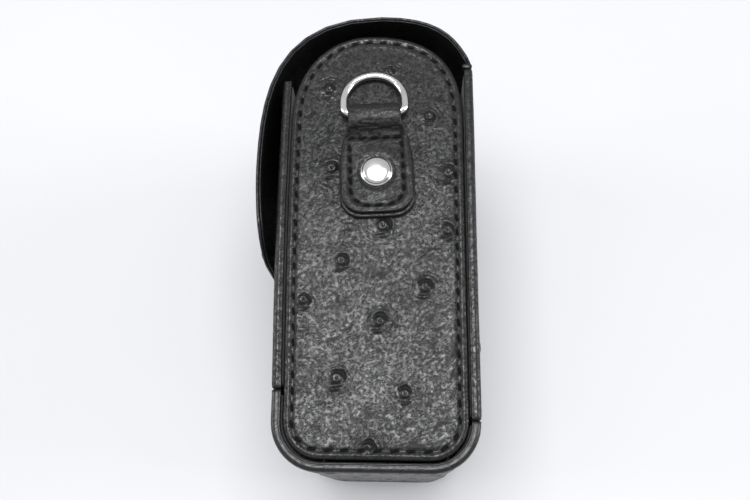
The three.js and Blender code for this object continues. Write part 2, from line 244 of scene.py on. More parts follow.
def turning(loop):
    """The angle a closed loop turns by at each of its points."""
    before, after = loop - np.roll(loop, 1, 0), np.roll(loop, -1, 0) - loop
    cross = before[:, 0] * after[:, 1] - before[:, 1] * after[:, 0]
    return np.arctan2(cross, (before * after).sum(1))


def section(node, axis):
    """The closed outlines of a CAD node cut a third of the way along an axis, clear of the
    snap, in millimetres, largest first and anticlockwise."""
    mesh = frame["nodes"][node].data
    low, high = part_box(node)
    level = low[axis] * 0.66 + high[axis] * 0.34
    plan = [k for k in range(3) if k != axis]
    links, places = {}, {}
    for polygon in mesh.polygons:
        corners = [mesh.vertices[v].co for v in polygon.vertices]
        cut = []
        for a, b in zip(corners, corners[1:] + corners[:1]):
            if (a[axis] - level) * (b[axis] - level) < 0:
                edge = tuple(sorted(tuple(round(c, 7) for c in end) for end in (a, b)))
                place = a.lerp(b, (level - a[axis]) / (b[axis] - a[axis]))
                places[edge] = [place[k] / MM for k in plan]
                cut.append(edge)
        if len(cut) == 2:
            links.setdefault(cut[0], []).append(cut[1])
            links.setdefault(cut[1], []).append(cut[0])
    loops = []
    while links:
        here = next(iter(links))
        loop = []
        while here is not None:
            loop.append(places[here])
            here = next((edge for edge in links.pop(here) if edge in links), None)
        loops.append(without_straight_points(np.array(loop)))
    loops = [loop if signed_area(loop) > 0 else loop[::-1] for loop in loops]
    return sorted(loops, key=signed_area, reverse=True)


def without_straight_points(loop):
    """The loop without its repeated points and the points inside its straight stretches."""
    shortest, straightest = 0.02, 0.002
    loop = loop[np.linalg.norm(loop - np.roll(loop, 1, 0), axis=1) > shortest]
    return loop[np.abs(turning(loop)) > straightest]


def signed_area(loop):
    x, y = loop[:, 0], loop[:, 1]
    return 0.5 * np.sum(x * np.roll(y, -1) - np.roll(x, -1) * y)


def outer_line(node):
    """The side of a bent wall's section that lies further from the case's middle, running so
    that the wall's inside is at its left."""
    loop = section(node, 2)[0]
    square = np.nonzero(np.abs(turning(loop)) > math.radians(50))[0]
    first, second, third, _ = (loop[k] for k in square)
    starts_short = np.linalg.norm(second - first) < np.linalg.norm(third - second)
    start = square[1] if starts_short else square[0]
    loop = np.roll(loop, -start, 0)
    _, end, other_start, other_end = sorted((square - start) % len(loop))
    sides = [loop[:end + 1], loop[other_start:other_end + 1]]
    middle = np.array(CASE_MIDDLE)
    outer = max(sides, key=lambda side: np.linalg.norm(side - middle, axis=1).mean())
    chord = outer[-1] - outer[0]
    to_middle = middle - outer[0]
    return outer if chord[0] * to_middle[1] - chord[1] * to_middle[0] > 0 else outer[::-1]


# --- meshes ---

def added(name, data):
    """A new object in the scene."""
    made = bpy.data.objects.new(name, data)
    bpy.context.scene.collection.objects.link(made)
    return made


def new_piece(name, vertices, faces, material, relief=None):
    """A smooth closed mesh from places in metres. relief is painted shade for the folds of the leather,
    kept on its points.
    """
    mesh = bpy.data.meshes.new(name)
    mesh.from_pydata(vertices.tolist(), [], faces)
    tidy = bmesh.new()
    tidy.from_mesh(mesh)
    bmesh.ops.recalc_face_normals(tidy, faces=tidy.faces)
    tidy.to_mesh(mesh)
    tidy.free()
    mesh.shade_smooth()
    if relief is not None:
        mesh.attributes.new("relief", "FLOAT", "POINT").data.foreach_set("value", relief)
    mesh.materials.append(material)
    return added(name, mesh)


def grid_inside(outline, pitch, margin):
    """Staggered grid points inside an outline, with each one's distance to it."""
    normals = inward(outline)
    tree = plan_tree(outline)
    low, high = outline.min(0), outline.max(0)
    rows = np.arange(low[1] + pitch / 2, high[1], pitch * 0.87)
    inside, depths = [], []
    for number, y in enumerate(rows):
        for x in np.arange(low[0] + pitch * (0.5 + 0.5 * (number % 2)), high[0], pitch):
            _, index, _ = tree.find((x, y, 0))
            depth = (x - outline[index, 0]) * normals[index, 0]
            depth += (y - outline[index, 1]) * normals[index, 1]
            if depth > margin:
                inside.append((x, y))
                depths.append(depth)
    return np.array(inside).reshape(-1, 2), np.array(depths)


def ring_angles(sides):
    return np.arange(sides) * 2 * math.pi / sides


def band_faces(rings, count, start=0):
    """Quads between neighbouring closed rings, whose points are kept one after another."""
    faces = []
    for low in range(start, start + (rings - 1) * count, count):
        for a in range(count):
            b = (a + 1) % count
            faces.append((low + a, low + b, low + count + b, low + count + a))
    return faces


def tube_faces(rings, count, start=0):
    """The faces of a tube of closed rings, with a cap at each end."""
    last = start + (rings - 1) * count
    caps = [list(range(start, start + count))[::-1], list(range(last, last + count))]
    return caps + band_faces(rings, count, start)


def fill(ring, inner):
    """Triangles between a closed ring of points and the points inside it."""
    places = [Vector(p) for p in ring] + [Vector(p) for p in inner]
    made = delaunay_2d_cdt(places, [], [list(range(len(ring)))], 1, 1e-7)
    source = [origins[0] for origins in made[3]]
    return [[source[corner] for corner in face] for face in made[2]]


def plate(name, outline, lift, rim, material, pitch, height=None, under_pitch=3.0, tight=1.0):
    """A sheet with a worked edge. outline is its plan, anticlockwise and evenly spaced. rim
    is the edge's profile as (distance inside the outline, depth under the top), from the top
    face round to the underside. lift turns plan points and depths into places in millimetres.
    height gives the relief and the painted shade of its folds, from the last ring above half way
    inwards. tight shrinks the edge's distances at each outline point."""
    count = len(outline)
    normals = inward(outline)
    points, edges = grid_inside(outline, pitch, rim[0][0] + GRID_MARGIN * pitch)
    reaches = [np.ones(count) * tight * distance for distance, _ in rim]
    plans = [outline + normals * reach[:, None] for reach in reaches]
    rim_depths = [float(depth) for _, depth in rim]
    low_points, _ = grid_inside(outline, under_pitch, rim[-1][0] + GRID_MARGIN * under_pitch)
    plan = np.vstack(plans + [points, low_points])
    counts = [count] * len(rim) + [len(points), len(low_points)]
    depth = np.repeat(rim_depths + [0.0, rim_depths[-1]], counts)
    relief = np.zeros(len(plan))
    start = len(rim) * count
    if height is not None:
        top_rings = max(k for k, low in enumerate(rim_depths) if low < max(rim_depths) * 0.5) + 1
        chosen = np.r_[0:top_rings * count, start:start + len(points)]
        edge = np.concatenate(reaches[:top_rings] + [edges])
        raised, shade = height(plan[chosen, 0], plan[chosen, 1], edge)
        fade = smoothstep(edge, 0.15, 1.0)
        depth[chosen] -= raised * fade
        # painted shade of the folds, furrows and quills, kept in the relief attribute
        relief[chosen] = shade * fade
    faces = band_faces(len(rim), count)
    for face in fill(plans[0], points):
        faces.append([c if c < count else start + c - count for c in face])
    last = (len(rim) - 1) * count
    low_start = start + len(points)
    for face in fill(plans[-1], low_points):
        faces.append([last + c if c < count else low_start + c - count for c in face][::-1])
    places = lift(plan[:, 0], plan[:, 1], depth) * MM
    return new_piece(name, places, faces, material, relief)


def rounded_over(radius, steps):
    """A top edge's quarter round, as a rim profile."""
    return [(radius * (1 - math.sin(angle)), radius * (1 - math.cos(angle)))
            for angle in np.linspace(0, QUARTER, steps)]


def rounded_under(radius, depth, steps):
    """The same for an edge that ends at a depth."""
    return [(radius * (1 - math.cos(angle)), depth - radius * (1 - math.sin(angle)))
            for angle in np.linspace(0, QUARTER, steps)]


def turned_rim(thickness, cover, radius, groove=0.0):
    """An edge whose leather is turned over what is under it, down to a depth of cover. groove
    is the depth of the line halfway, where the turned leather meets the layer below."""
    profile = [(radius + 0.15, 0.0)] + rounded_over(radius, 6)
    if groove:
        middle = radius + (cover - radius) * 0.45
        profile += [(0.02, middle - 0.26), (groove * 0.55, middle - 0.1), (groove, middle),
                    (groove * 0.5, middle + 0.1), (0.03, middle + 0.26)]
    return profile + rounded_under(0.32, cover, 4) + [(1.0, cover), (1.05, thickness)]


def worn(outline, amount, seed):
    """An outline whose edge wanders a little, as hand-turned leather does."""
    x, y = outline[:, 0], outline[:, 1]
    wander = noise(x / 3.1, y / 3.1, 0.5, seed) + 0.5 * noise(x / 1.1, y / 1.1, 4.5, seed) - 0.75
    return outline + inward(outline) * (amount * wander)[:, None]


def plain_rim(thickness, radius=None):
    """A cut edge, a little rounded on both sides."""
    radius = radius or thickness * 0.35
    start = radius + 0.25
    return ([(start, 0.0)] + rounded_over(radius, 4) + rounded_under(radius, thickness, 4)
            + [(start, thickness)])


def flat_lift(level, side):
    """Lays a plan on a plane at a height in millimetres, its top facing up or down."""
    def lift(u, v, depth):
        return np.stack([u, v, level - side * depth], 1)
    return lift


def sunk(lift, offset):
    """The same lift for a sheet that lies deeper."""
    return lambda u, v, depth: lift(u, v, depth + offset)


def wall_lift(line):
    """Wraps a plan round a line seen along Z: u runs along the line and v along Z."""
    along = distances_along(line)
    normals = inward(line, closed=False)
    def lift(u, v, depth):
        def bent(values):
            return np.interp(u, along, values)
        x = bent(line[:, 0]) + bent(normals[:, 0]) * depth
        y = bent(line[:, 1]) + bent(normals[:, 1]) * depth
        return np.stack([x, y, v], 1)
    return lift, along[-1]


# --- relief ---

def scattered(low, high, spacing, seed):
    """Places spread evenly but irregularly over a rectangle."""
    random = np.random.default_rng(seed)
    places = []
    rows = max(1, int(round((high[1] - low[1]) / (spacing * 0.87))))
    columns = max(1, int(round((high[0] - low[0]) / spacing)))
    for row in range(rows):
        for column in range(columns):
            shift = 0.25 + 0.5 * (row % 2)
            jitter = random.uniform(-0.24, 0.24, 2)
            x = low[0] + (high[0] - low[0]) * (column + shift + jitter[0]) / columns
            y = low[1] + (high[1] - low[1]) * (row + 0.5 + jitter[1]) / rows
            places.append((x, y))
    return places


def quill_relief(x, y, centre, seed):
    """A feather follicle: a nub, a furrow round it that is deepest on the upper right, broken
    rings further out, and short folds under it. Also gives the warped distance from it."""
    random = np.random.default_rng(seed)
    size = random.uniform(0.85, 1.12)
    shade_side = math.radians(52) + random.uniform(-0.5, 0.5)
    dx, dy = x - centre[0], y - centre[1]
    r = np.hypot(dx / 1.06, dy * 1.04) / size
    r = r + 0.8 * (noise(x * 0.75, y * 0.75, 0.0, seed) - 0.5) * smoothstep(r, 0.5, 2.2)
    angle = np.arctan2(dy, dx)
    side = 0.1 + 0.9 * smoothstep(np.cos(angle - shade_side), -0.25, 0.85)
    patchy = smoothstep(noise(angle * 1.6 + 9, r * 0.8, 2.0, seed + 7), 0.42, 0.75)
    nub = QUILL["nub"] * (1 - smoothstep(r, 0.7, 1.5))
    nick = -QUILL["nick"] * bell(dx, 0.2, 0.3) * bell(dy, -0.1, 0.6)
    moat = -QUILL["moat"] * bell(r, 1.65, 0.4) * side
    collar = QUILL["collar"] * bell(r, 2.3, 0.45) * side
    rings = -sum(depth * bell(r, at, width) for at, width, depth in QUILL_RINGS) * patchy
    folds = 0
    for number in range(3):
        drop = 1.45 + 0.68 * number + random.uniform(-0.1, 0.1)
        shift = random.uniform(-0.6, 0.6)
        bend = 0.1 * (dx - shift) ** 2 + 0.12 * (dx - shift)
        length = 1.3 - 0.2 * number
        folds = folds - QUILL["fold"] * bell(dx, shift, length) * bell(dy - bend, -drop * size, 0.2)
    mound = QUILL["mound"] * np.exp(-((r / 3.2) ** 2))
    return QUILL["relief"] * (nub + nick + moat + collar + rings + folds + mound), r


def ostrich_relief(quills, seed, border, stitches):
    """The top face of ostrich leather: quills, folds that bend round them, a soft swell, and a
    calmer border outside the seam, which is a furrow with a pit under each stitch. Also gives painted
    shade for the folds, the hollows round the quills and the seam's furrow."""
    def height(x, y, edge):
        quill_height = np.zeros(len(x))
        near = np.full(len(x), 9.0)
        for number, centre in enumerate(quills):
            distance = np.hypot(x - centre[0], y - centre[1])
            close = distance < QUILL_REACH
            if close.any():
                bump, r = quill_relief(x[close], y[close], centre, seed * 100 + number)
                quill_height[close] += bump * (1 - smoothstep(r, 5.5, 7.5))
                near[close] = np.minimum(near[close], r)
        lean = WRINKLE_LEAN + WRINKLE_WANDER * (noise(x / 24, y / 24, 6.1, seed) - 0.5)
        run = -x * np.sin(lean) + y * np.cos(lean)
        around = 1 - smoothstep(near, 2.5, 6.5)
        flow = run * (1 - around) + near * 1.2 * around
        flow = flow + 2.6 * noise(x / 8, y / 8, 3.3, seed) + 0.9 * noise(x / 2.3, y / 2.3, 1.7, seed)
        coarse = creases(x / WRINKLE_LENGTH, y / WRINKLE_LENGTH, flow / WRINKLE_SPACING, seed + 1)
        fine = creases(x / 1.5, y / 1.5, flow / (WRINKLE_SPACING * FINE_SHARE), seed + 2)
        patch = 0.3 + 1.1 * smoothstep(noise(x / 10, y / 10, 5.5, seed + 3), 0.25, 0.8)
        folds = (0.6 * coarse + 0.6 * fine) * patch * smoothstep(near, 1.2, 2.6)
        deep = smoothstep(noise(x / 4.5, y / 4.5, flow / 2.6, seed + 5), 0.62, 0.8) * coarse
        swell = SWELL * (noise(x / 15, y / 15, 8.1, seed + 4) - 0.5)
        grain = BORDER_CALM + (1 - BORDER_CALM) * smoothstep(edge, border - 0.3, border + 0.6)
        furrow = bell(edge, border, 0.3)
        trough = -SEAM_FURROW * furrow + SEAM_RISE * bell(edge, border * 0.5, 0.5)
        trough += SEAM_SHOULDER * bell(edge, border + 1.1, 0.7)
        total = quill_height * grain - WRINKLE_DEPTH * (folds + deep) * grain + swell * grain + trough
        total = total + stitch_pits(x, y, np.abs(edge - border) < PIT["search"], stitches)
        # painted shade: darker in the folds, in the hollows round each quill and along the seam's furrow
        shade = (folds * 0.55 + deep * 0.5) * grain + smoothstep(-quill_height, 0.02, 0.3)
        return total, np.clip(shade + 0.1 * furrow, 0, 1)
    return height


def stitch_pits(x, y, near, stitches):
    """A narrow pit along each stitch, for the points that may be near one."""
    pits = np.zeros(len(x))
    tree = plan_tree([place for place, _ in stitches])
    for point in np.nonzero(near)[0]:
        _, index, distance = tree.find((x[point], y[point], 0))
        if distance < PIT["reach"]:
            (cx, cy), (tx, ty) = stitches[index]
            dx, dy = x[point] - cx, y[point] - cy
            along = dx * tx + dy * ty
            across = -dx * ty + dy * tx
            fall = (along / PIT["half_length"]) ** 4 + (across / PIT["half_width"]) ** 2
            pits[point] = -PIT["depth"] * math.exp(-fall)
    return pits


# --- stitches ---

def stitch_places(outline, kind, inset=None):
    """(place, direction) of each stitch along a line inside a closed outline."""
    distance = kind["inset"] if inset is None else inset
    line = outline + inward(outline) * distance
    step = 0.1
    dense = resample(line, step, True)
    count = int(round(len(dense) * step / kind["pitch"]))
    t = tangents(dense, True)
    chosen = (np.arange(count) * len(dense) / count).astype(int)
    lean = kind["lean"]
    cos, sin = math.cos(lean), math.sin(lean)
    return [(tuple(dense[k]), (t[k][0] * cos - t[k][1] * sin, t[k][0] * sin + t[k][1] * cos))
            for k in chosen]


def thread(name, stitches, kind, lift):
    """All the stitches of one seam: short twisted arcs whose ends dive into their holes."""
    sides, steps = 8, 12
    half, radius = kind["length"] / 2, kind["radius"]
    vertices, faces = [], []
    t = np.linspace(-1, 1, steps)
    ring = ring_angles(sides)
    for (cx, cy), (tx, ty) in stitches:
        base = len(vertices)
        taper = radius * (0.35 + 0.65 * np.sqrt(np.clip(1 - t ** 6, 0, 1)))
        sink = THREAD_DEPTH + THREAD_DIVE * np.abs(t) ** 4
        for k in range(steps):
            twist = 1 + 0.1 * np.cos(2 * (ring - t[k] * 3.6))
            across = taper[k] * twist * np.cos(ring)
            rise = taper[k] * twist * np.sin(ring)
            u = cx + tx * half * t[k] - ty * across
            v = cy + ty * half * t[k] + tx * across
            vertices.extend(lift(u, v, sink[k] - rise).tolist())
        faces += tube_faces(steps, sides, base)
    return new_piece(name, np.array(vertices) * MM, faces, THREAD)


# --- materials ---

class Nodes:
    """A material's node tree, with short calls to add and join its nodes."""

    def __init__(self, name):
        self.material = bpy.data.materials.new(name)
        self.material.use_nodes = True
        self.tree = self.material.node_tree
        self.surface = self.tree.nodes["Principled BSDF"]

    def add(self, kind, inputs=None, **settings):
        node = self.tree.nodes.new("ShaderNode" + kind)
        for key, value in settings.items():
            setattr(node, key, value)
        for key, value in (inputs or {}).items():
            self.put(node.inputs[key], value)
        return node

    def put(self, socket, value):
        """Links a value into a socket, or sets it there. A plain colour has no alpha."""
        if isinstance(value, bpy.types.NodeSocket):
            self.tree.links.new(value, socket)
        else:
            socket.default_value = (*value, 1) if socket.type == "RGBA" else value

    def place(self):
        return self.add("TexCoord").outputs["Object"]

    def noise(self, size, detail=3.0, roughness=0.5):
        """Noise with features of a size in millimetres."""
        inputs = {"Vector": self.place(), "Scale": 1 / (size * MM), "Detail": detail}
        return self.add("TexNoise", {**inputs, "Roughness": roughness}).outputs["Fac"]

    def cells(self, size):
        inputs = {"Vector": self.place(), "Scale": 1 / (size * MM)}
        return self.add("TexVoronoi", inputs).outputs["Distance"]

    def spread(self, value, low, high, source=(0.3, 0.7)):
        """A value carried from one range to another."""
        inputs = {"Value": value, 1: source[0], 2: source[1], 3: low, 4: high}
        return self.add("MapRange", inputs).outputs["Result"]

    def mix(self, factor, first, second):
        node = self.add("Mix", {0: factor, 6: first, 7: second}, data_type="RGBA")
        return node.outputs[2]

    def math(self, operation, first, second):
        return self.add("Math", {0: first, 1: second}, operation=operation).outputs[0]

    def bump(self, height, depth, normal=None):
        inputs = {"Height": height, "Strength": 1.0, "Distance": depth * MM}
        if normal is not None:
            inputs["Normal"] = normal
        return self.add("Bump", inputs).outputs["Normal"]

    def finish(self, **sockets):
        names = {"color": "Base Color", "metal": "Metallic", "sheen": "Sheen Weight",
                 "coat": "Coat Weight", "specular": "Specular IOR Level"}
        for key, value in sockets.items():
            self.put(self.surface.inputs[names.get(key, key.replace("_", " ").title())], value)
        return self.material


def leather(name, dark, light, gloss, grain, grain_depth, crack, shine=0.58):
    """Dyed and glazed leather: pores, and a swelling grain cut by short leaning cracks, which
    are duller by crack and darkened with painted shade. The folds in the relief attribute get the same
    painted shade. grain and grain_depth are in millimetres."""
    n = Nodes(name)
    relief = n.add("Attribute", attribute_name="relief").outputs["Fac"]
    size = tuple(grain * MM * share for share in GRAIN_SHAPE)
    leaning = n.add("Mapping", {"Vector": n.place(), "Rotation": (0, 0, WRINKLE_LEAN), "Scale": size},
                    vector_type="TEXTURE").outputs[0]
    settings = {"Scale": 1.0, "Detail": 2.5, "Roughness": 0.55, "Distortion": 0.5}
    swell = n.add("TexNoise", {"Vector": leaning, **settings}).outputs["Fac"]
    middle = n.math("ABSOLUTE", n.math("SUBTRACT", swell, 0.5), 0.0)
    line = n.spread(middle, 1, 0, (0.03, 0.09))
    cracks = n.math("MULTIPLY", line, n.spread(n.noise(0.9, 2.0), 0, 1, (0.36, 0.58)))
    color = n.mix(n.spread(n.noise(7.0, 4.0), 0, 1), dark, light)
    # painted shade: the folds in the relief attribute and the cracks are darkened toward a fifth of the
    # dark dye
    painted_crease_shade = n.math("MAXIMUM", n.math("MULTIPLY", relief, 0.8), cracks)
    color = n.mix(painted_crease_shade, color, tuple(c * 0.2 for c in dark))
    rough = n.spread(n.noise(2.2, 5.0, 0.6), gloss - 0.02, gloss + 0.05)
    rough = n.math("ADD", rough, n.math("MULTIPLY", relief, 0.55))
    rough = n.math("ADD", rough, n.math("MULTIPLY", cracks, crack))
    height = n.math("SUBTRACT", swell, n.math("MULTIPLY", cracks, 0.8))
    folded = n.bump(height, grain_depth * 4, n.bump(n.cells(0.34), 0.012))
    return n.finish(color=color, roughness=rough, normal=folded, specular=shine,
                    coat=0.1, coat_roughness=0.2)


def fibrous(name, dark, light, clouds, fibres, depth, **sockets):
    """A dull material of fibres. clouds and fibres are the settings of its two noises."""
    n = Nodes(name)
    color = n.mix(n.spread(n.noise(*clouds), 0, 1), dark, light)
    return n.finish(color=color, normal=n.bump(n.noise(*fibres), depth), **sockets)


def plated(name, dark, light, gloss, scratch_depth):
    """Plated metal with handling marks and faint clouding."""
    n = Nodes(name)
    color = n.mix(n.spread(n.noise(4.0, 4.0), 0, 1), dark, light)
    rough = n.spread(n.noise(1.5, 6.0, 0.7), gloss - 0.04, gloss + 0.1)
    stretched = n.add("Mapping", {"Vector": n.place(), "Scale": (900, 5200, 900)}).outputs[0]
    hairs = n.add("TexNoise", {"Vector": stretched, "Scale": 1.0, "Detail": 3.0}).outputs["Fac"]
    return n.finish(color=color, roughness=rough, metal=1.0, normal=n.bump(hairs, scratch_depth))


GRAIN_SHAPE = (3.0, 1.0, 1.6)
DYES = (0.0045, 0.0045, 0.0048), (0.0095, 0.0093, 0.0097)
STRAP_DYES = (0.0045, 0.0045, 0.0046), (0.008, 0.0079, 0.008)
OSTRICH = leather("ostrich_leather", *DYES, 0.24, 0.19, 0.006, 0.95)
BASE = leather("base_leather", *DYES, 0.32, 0.9, 0.012, 0.15)
STRAP = leather("strap_leather", *STRAP_DYES, 0.3, 0.6, 0.018, 0.3, shine=0.42)
LINING = fibrous("suede_lining", (0.008, 0.008, 0.0085), (0.02, 0.02, 0.021), (3.0, 5.0, 0.7),
                 (0.18, 3.0, 0.7), 0.09, roughness=0.93, sheen=0.25, sheen_roughness=0.5)
BOARD = fibrous("leather_board", (0.05, 0.034, 0.02), (0.12, 0.085, 0.055), (1.2, 6.0, 0.7),
                (0.35, 4.0), 0.08, roughness=0.9)
THREAD = fibrous("black_thread", (0.004, 0.004, 0.004), (0.012, 0.012, 0.012), (0.35, 3.0),
                 (0.12, 2.0), 0.05, roughness=0.75, specular=0.1)
NICKEL = plated("nickel_plate", (0.64, 0.63, 0.6), (0.78, 0.77, 0.74), 0.16, 0.002)
STEEL = plated("washer_steel", (0.36, 0.36, 0.36), (0.5, 0.5, 0.5), 0.38, 0.006)


def box_middle(node):
    low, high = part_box(node)
    return (Vector(low) + Vector(high)) / 2


def dress(piece, body, slot, *nodes):
    """Hangs a finished piece on its body, in the place of the CAD nodes it stands for."""
    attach(piece, body)
    if nodes:
        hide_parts(*nodes)
    return piece


# --- wall panels ---

LEATHER, BOARD_DEPTH, LINING_DEPTH = 0.9, 1.0, 1.8
WALL_BOARD, LINING_THICKNESS = 0.55, 0.5
TURNED_TO, TURN_RADIUS = 2.2, 1.08
BOARD_INSET, LINING_INSET = 1.3, 1.15
SKIN_CORNER, LAYER_CORNER, LAYER_PITCH = 0.9, 1.0, 0.8
RIM_LOW, RIM_HIGH = (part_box("bottom_panel_leather")[k][2] / MM for k in (0, 1))


def skin_and_seam(panel, outline, stitches, kind, lift, rim, finish, pitch, height, tight=1.0):
    """A panel's leather and the stitches of its seam."""
    skin = plate(f"{panel}_skin", outline, lift, rim, finish, pitch, height, tight=tight)
    dress(skin, "shell", "black_leather", f"{panel}_leather")
    dress(thread(f"{panel}_stitches", stitches, kind, lift), "shell", "black_leather")


def backing(panel, lift, board_plan, board_depth, thickness, lining_plan, lining_depth):
    """The stiffener and the suede lining behind a panel's leather."""
    board = plate(f"{panel}_stiffener", board_plan, sunk(lift, board_depth), plain_rim(thickness),
                  BOARD, PLAIN_PITCH)
    dress(board, "shell", "stiffener", f"{panel}_board")
    lining = plate(f"{panel}_suede", lining_plan, sunk(lift, lining_depth),
                   plain_rim(LINING_THICKNESS), LINING, LINING_PITCH)
    dress(lining, "shell", "lining", f"{panel}_lining")


def wall_panel(panel, seed, groove=0.16, trim=0.0, board_end=BOARD_INSET, finish=OSTRICH, calm=1.0):
    """One wall: leather turned over its board's edges, the board, and the lining. trim and
    board_end are distances from the wall line's end, and calm is how strong the relief and its painted
    shade are."""
    node = f"{panel}_panel"
    line = smooth_line(outer_line(f"{node}_leather"), LINE_PITCH, 1.2, False)
    lift, length = wall_lift(lengthened(line, 0.16))
    low, high = (0, RIM_LOW), (length - trim, RIM_HIGH)
    outline = rounded_outline(low, high, [SKIN_CORNER] * 4, WALL_PITCH)
    stitches = stitch_places(outline, WALL_STITCH)
    quills = scattered(low, high, QUILL_SPACING, seed)
    full = ostrich_relief(quills, seed, WALL_STITCH["inset"], stitches)

    def height(x, y, edge):
        raised, shade = full(x, y, edge)
        return raised * calm, shade * calm
    to_end = np.minimum(outline[:, 0] - low[0], high[0] - outline[:, 0])
    tight = 0.35 + 0.65 * smoothstep(to_end, 0.0, 1.2)
    rim = turned_rim(LEATHER, TURNED_TO, TURN_RADIUS, groove)
    skin_and_seam(node, worn(outline, 0.12, seed), stitches, WALL_STITCH, lift, rim, finish,
                  WALL_PITCH, height, tight)

    def layer(end, inset):
        low, high = (inset, RIM_LOW + inset), (length - end, RIM_HIGH - inset)
        return rounded_outline(low, high, [LAYER_CORNER] * 4, LAYER_PITCH)
    backing(node, lift, layer(board_end, BOARD_INSET), BOARD_DEPTH, WALL_BOARD,
            layer(trim + LINING_INSET, LINING_INSET), LINING_DEPTH)


# --- end panels ---

# Quill marks of the near end panel, from the middle of its bottom edge.
NEAR_QUILLS = [(-12.9, 95.1), (2.9, 100.3), (13.5, 87.1), (-11.5, 72.4), (18.3, 71.1),
               (1.9, 56.7), (18.0, 55.6), (-8.3, 47.5), (12.4, 40.8), (-17.2, 37.5),
               (1.5, 32.3), (-8.5, 18.6), (7.6, 15.1), (-1.0, 2.6)]
END_LEATHER, END_BOARD_DEPTH, END_LINING_DEPTH = 1.0, 1.1, 2.1
END_BOARD, END_LINING_INSET = 0.8, 0.3
END_TURNED_TO, END_TURN_RADIUS = 1.95, 0.6


def end_panel(end, side, quills, seed):
    """An end panel, with its outer face up where side is 1 and down where it is -1."""
    node = f"{end}_end"
    low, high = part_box(f"{node}_leather")
    level = (high if side > 0 else low)[2] / MM
    outline = smooth_line(section(f"{node}_leather", 2)[0], LINE_PITCH, 1.6, True)
    stitches = stitch_places(outline, PANEL_STITCH)
    height = ostrich_relief(quills, seed, PANEL_STITCH["inset"], stitches)
    pitch = FINE_PITCH if end == "near" else WALL_PITCH
    rim = turned_rim(END_LEATHER, END_TURNED_TO, END_TURN_RADIUS)
    lift = flat_lift(level, side)
    skin_and_seam(node, worn(outline, 0.1, seed), stitches, PANEL_STITCH, lift, rim, OSTRICH,
                  pitch, height)
    inside = inward(outline)
    backing(node, lift, outline + inside * BOARD_INSET, END_BOARD_DEPTH, END_BOARD,
            outline + inside * END_LINING_INSET, END_LINING_DEPTH)


# --- flap ---

FLAP_LEATHER, FLAP_LINING_DEPTH, FLAP_LINING = 0.75, 0.85, 0.4
FLAP_CORNER, FLAP_ROOT_CORNER = 13.0, 1.0
FLAP_SEAM_START = 10.0


def flap_line():
    """The flap's outer line, begun between the back wall's leather and lining, where it is
    sewn in, and led out through the fold on the wall's top edge."""
    made = outer_line("flap_leather")
    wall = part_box("back_panel_leather")
    inner = wall[0][0] / MM - 0.12
    top = wall[1][1] / MM
    sewn_in = [(inner, top - 5.5), (inner, top - 3.5), (inner + 0.02, top - 1.6)]
    led_out = (wall[1][0] / MM - 0.16, top + 0.75)
    rest = made[np.linalg.norm(made - made[0], axis=1) > 1.2]
    return smooth_line(np.vstack([sewn_in, led_out, rest]), LINE_PITCH, 0.9, False)


def fold_over_back():
    """The wall's leather rolled over its top edge, where the flap comes out of it."""
    low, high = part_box("back_panel_leather")
    centre = (high.x / MM - 1.4, high.y / MM + 0.3)
    half_width, half_height, ripple_depth = 1.35, 0.85, 0.12
    sides = 28
    cos, sin = np.cos(ring_angles(sides)), np.sin(ring_angles(sides))
    ends = [(0.0, 0.55), (0.12, 0.82), (0.4, 1.0)]
    length = (high.z - low.z) / MM
    stations = ends + [(at, 1.0) for at in np.arange(1.0, length - 0.9, 0.6)]
    stations += [(length - at, share) for at, share in ends[::-1]]
    vertices = []
    for at, share in stations:
        wander = noise(cos * 1.5, sin * 1.5, at / 1.4, SEEDS["fold"]) - 0.5
        ripple = share * (1 + ripple_depth * wander)
        x = centre[0] + half_width * ripple * cos
        y = centre[1] + half_height * ripple * sin
        vertices.append(np.column_stack([x, y, np.full(sides, low.z / MM + at)]))
    faces = tube_faces(len(stations), sides)
    piece = new_piece("back_panel_top_fold", np.vstack(vertices) * MM, faces, OSTRICH)
    dress(piece, "shell", "black_leather")


def narrowed_root(outline, low, high):
    """The flap's plan, drawn in where the flap is sewn inside the wall and so hidden by it."""
    middle = (low + high) / 2
    drawn_in = 2.0 * (1 - smoothstep(outline[:, 0], 4.5, 9.0)) / (high - middle)
    return np.column_stack([outline[:, 0], middle + (outline[:, 1] - middle) * (1 - drawn_in)])


def flap():
    line = flap_line()
    lift, length = wall_lift(line)
    low_z, high_z = (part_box("flap_leather")[k][2] / MM for k in (0, 1))
    corners = [FLAP_ROOT_CORNER, FLAP_CORNER, FLAP_CORNER, FLAP_ROOT_CORNER]
    plan = rounded_outline((0, low_z), (length, high_z), corners, WALL_PITCH)
    outline = narrowed_root(plan, low_z, high_z)
    stitches = [s for s in stitch_places(outline, WALL_STITCH) if s[0][0] > FLAP_SEAM_START]
    quills = scattered((4, low_z), (length, high_z), QUILL_SPACING, SEEDS["flap"])
    height = ostrich_relief(quills, SEEDS["flap"], WALL_STITCH["inset"], stitches)
    rim = plain_rim(FLAP_LEATHER, 0.3)
    skin = plate("flap_skin", outline, lift, rim, OSTRICH, WALL_PITCH, height, under_pitch=1.5)
    seam = thread("flap_stitches", stitches, WALL_STITCH, lift)
    rim_gap = 0.2
    low, high = (2 * rim_gap, low_z + rim_gap), (length - rim_gap, high_z - rim_gap)
    plan = rounded_outline(low, high, corners, 0.6)
    inner = narrowed_root(plan, low_z, high_z)
    lining = plate("flap_suede", inner, sunk(lift, FLAP_LINING_DEPTH), plain_rim(FLAP_LINING),
                   STRAP, LINING_PITCH, under_pitch=LINING_PITCH)
    parts = ((skin, "black_leather", "flap_leather"), (lining, "lining", "flap_lining"))
    for piece, slot, node in parts:
        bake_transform(piece)
        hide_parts(node)
    dress(seam, "flap", "black_leather")


# --- turned metal ---

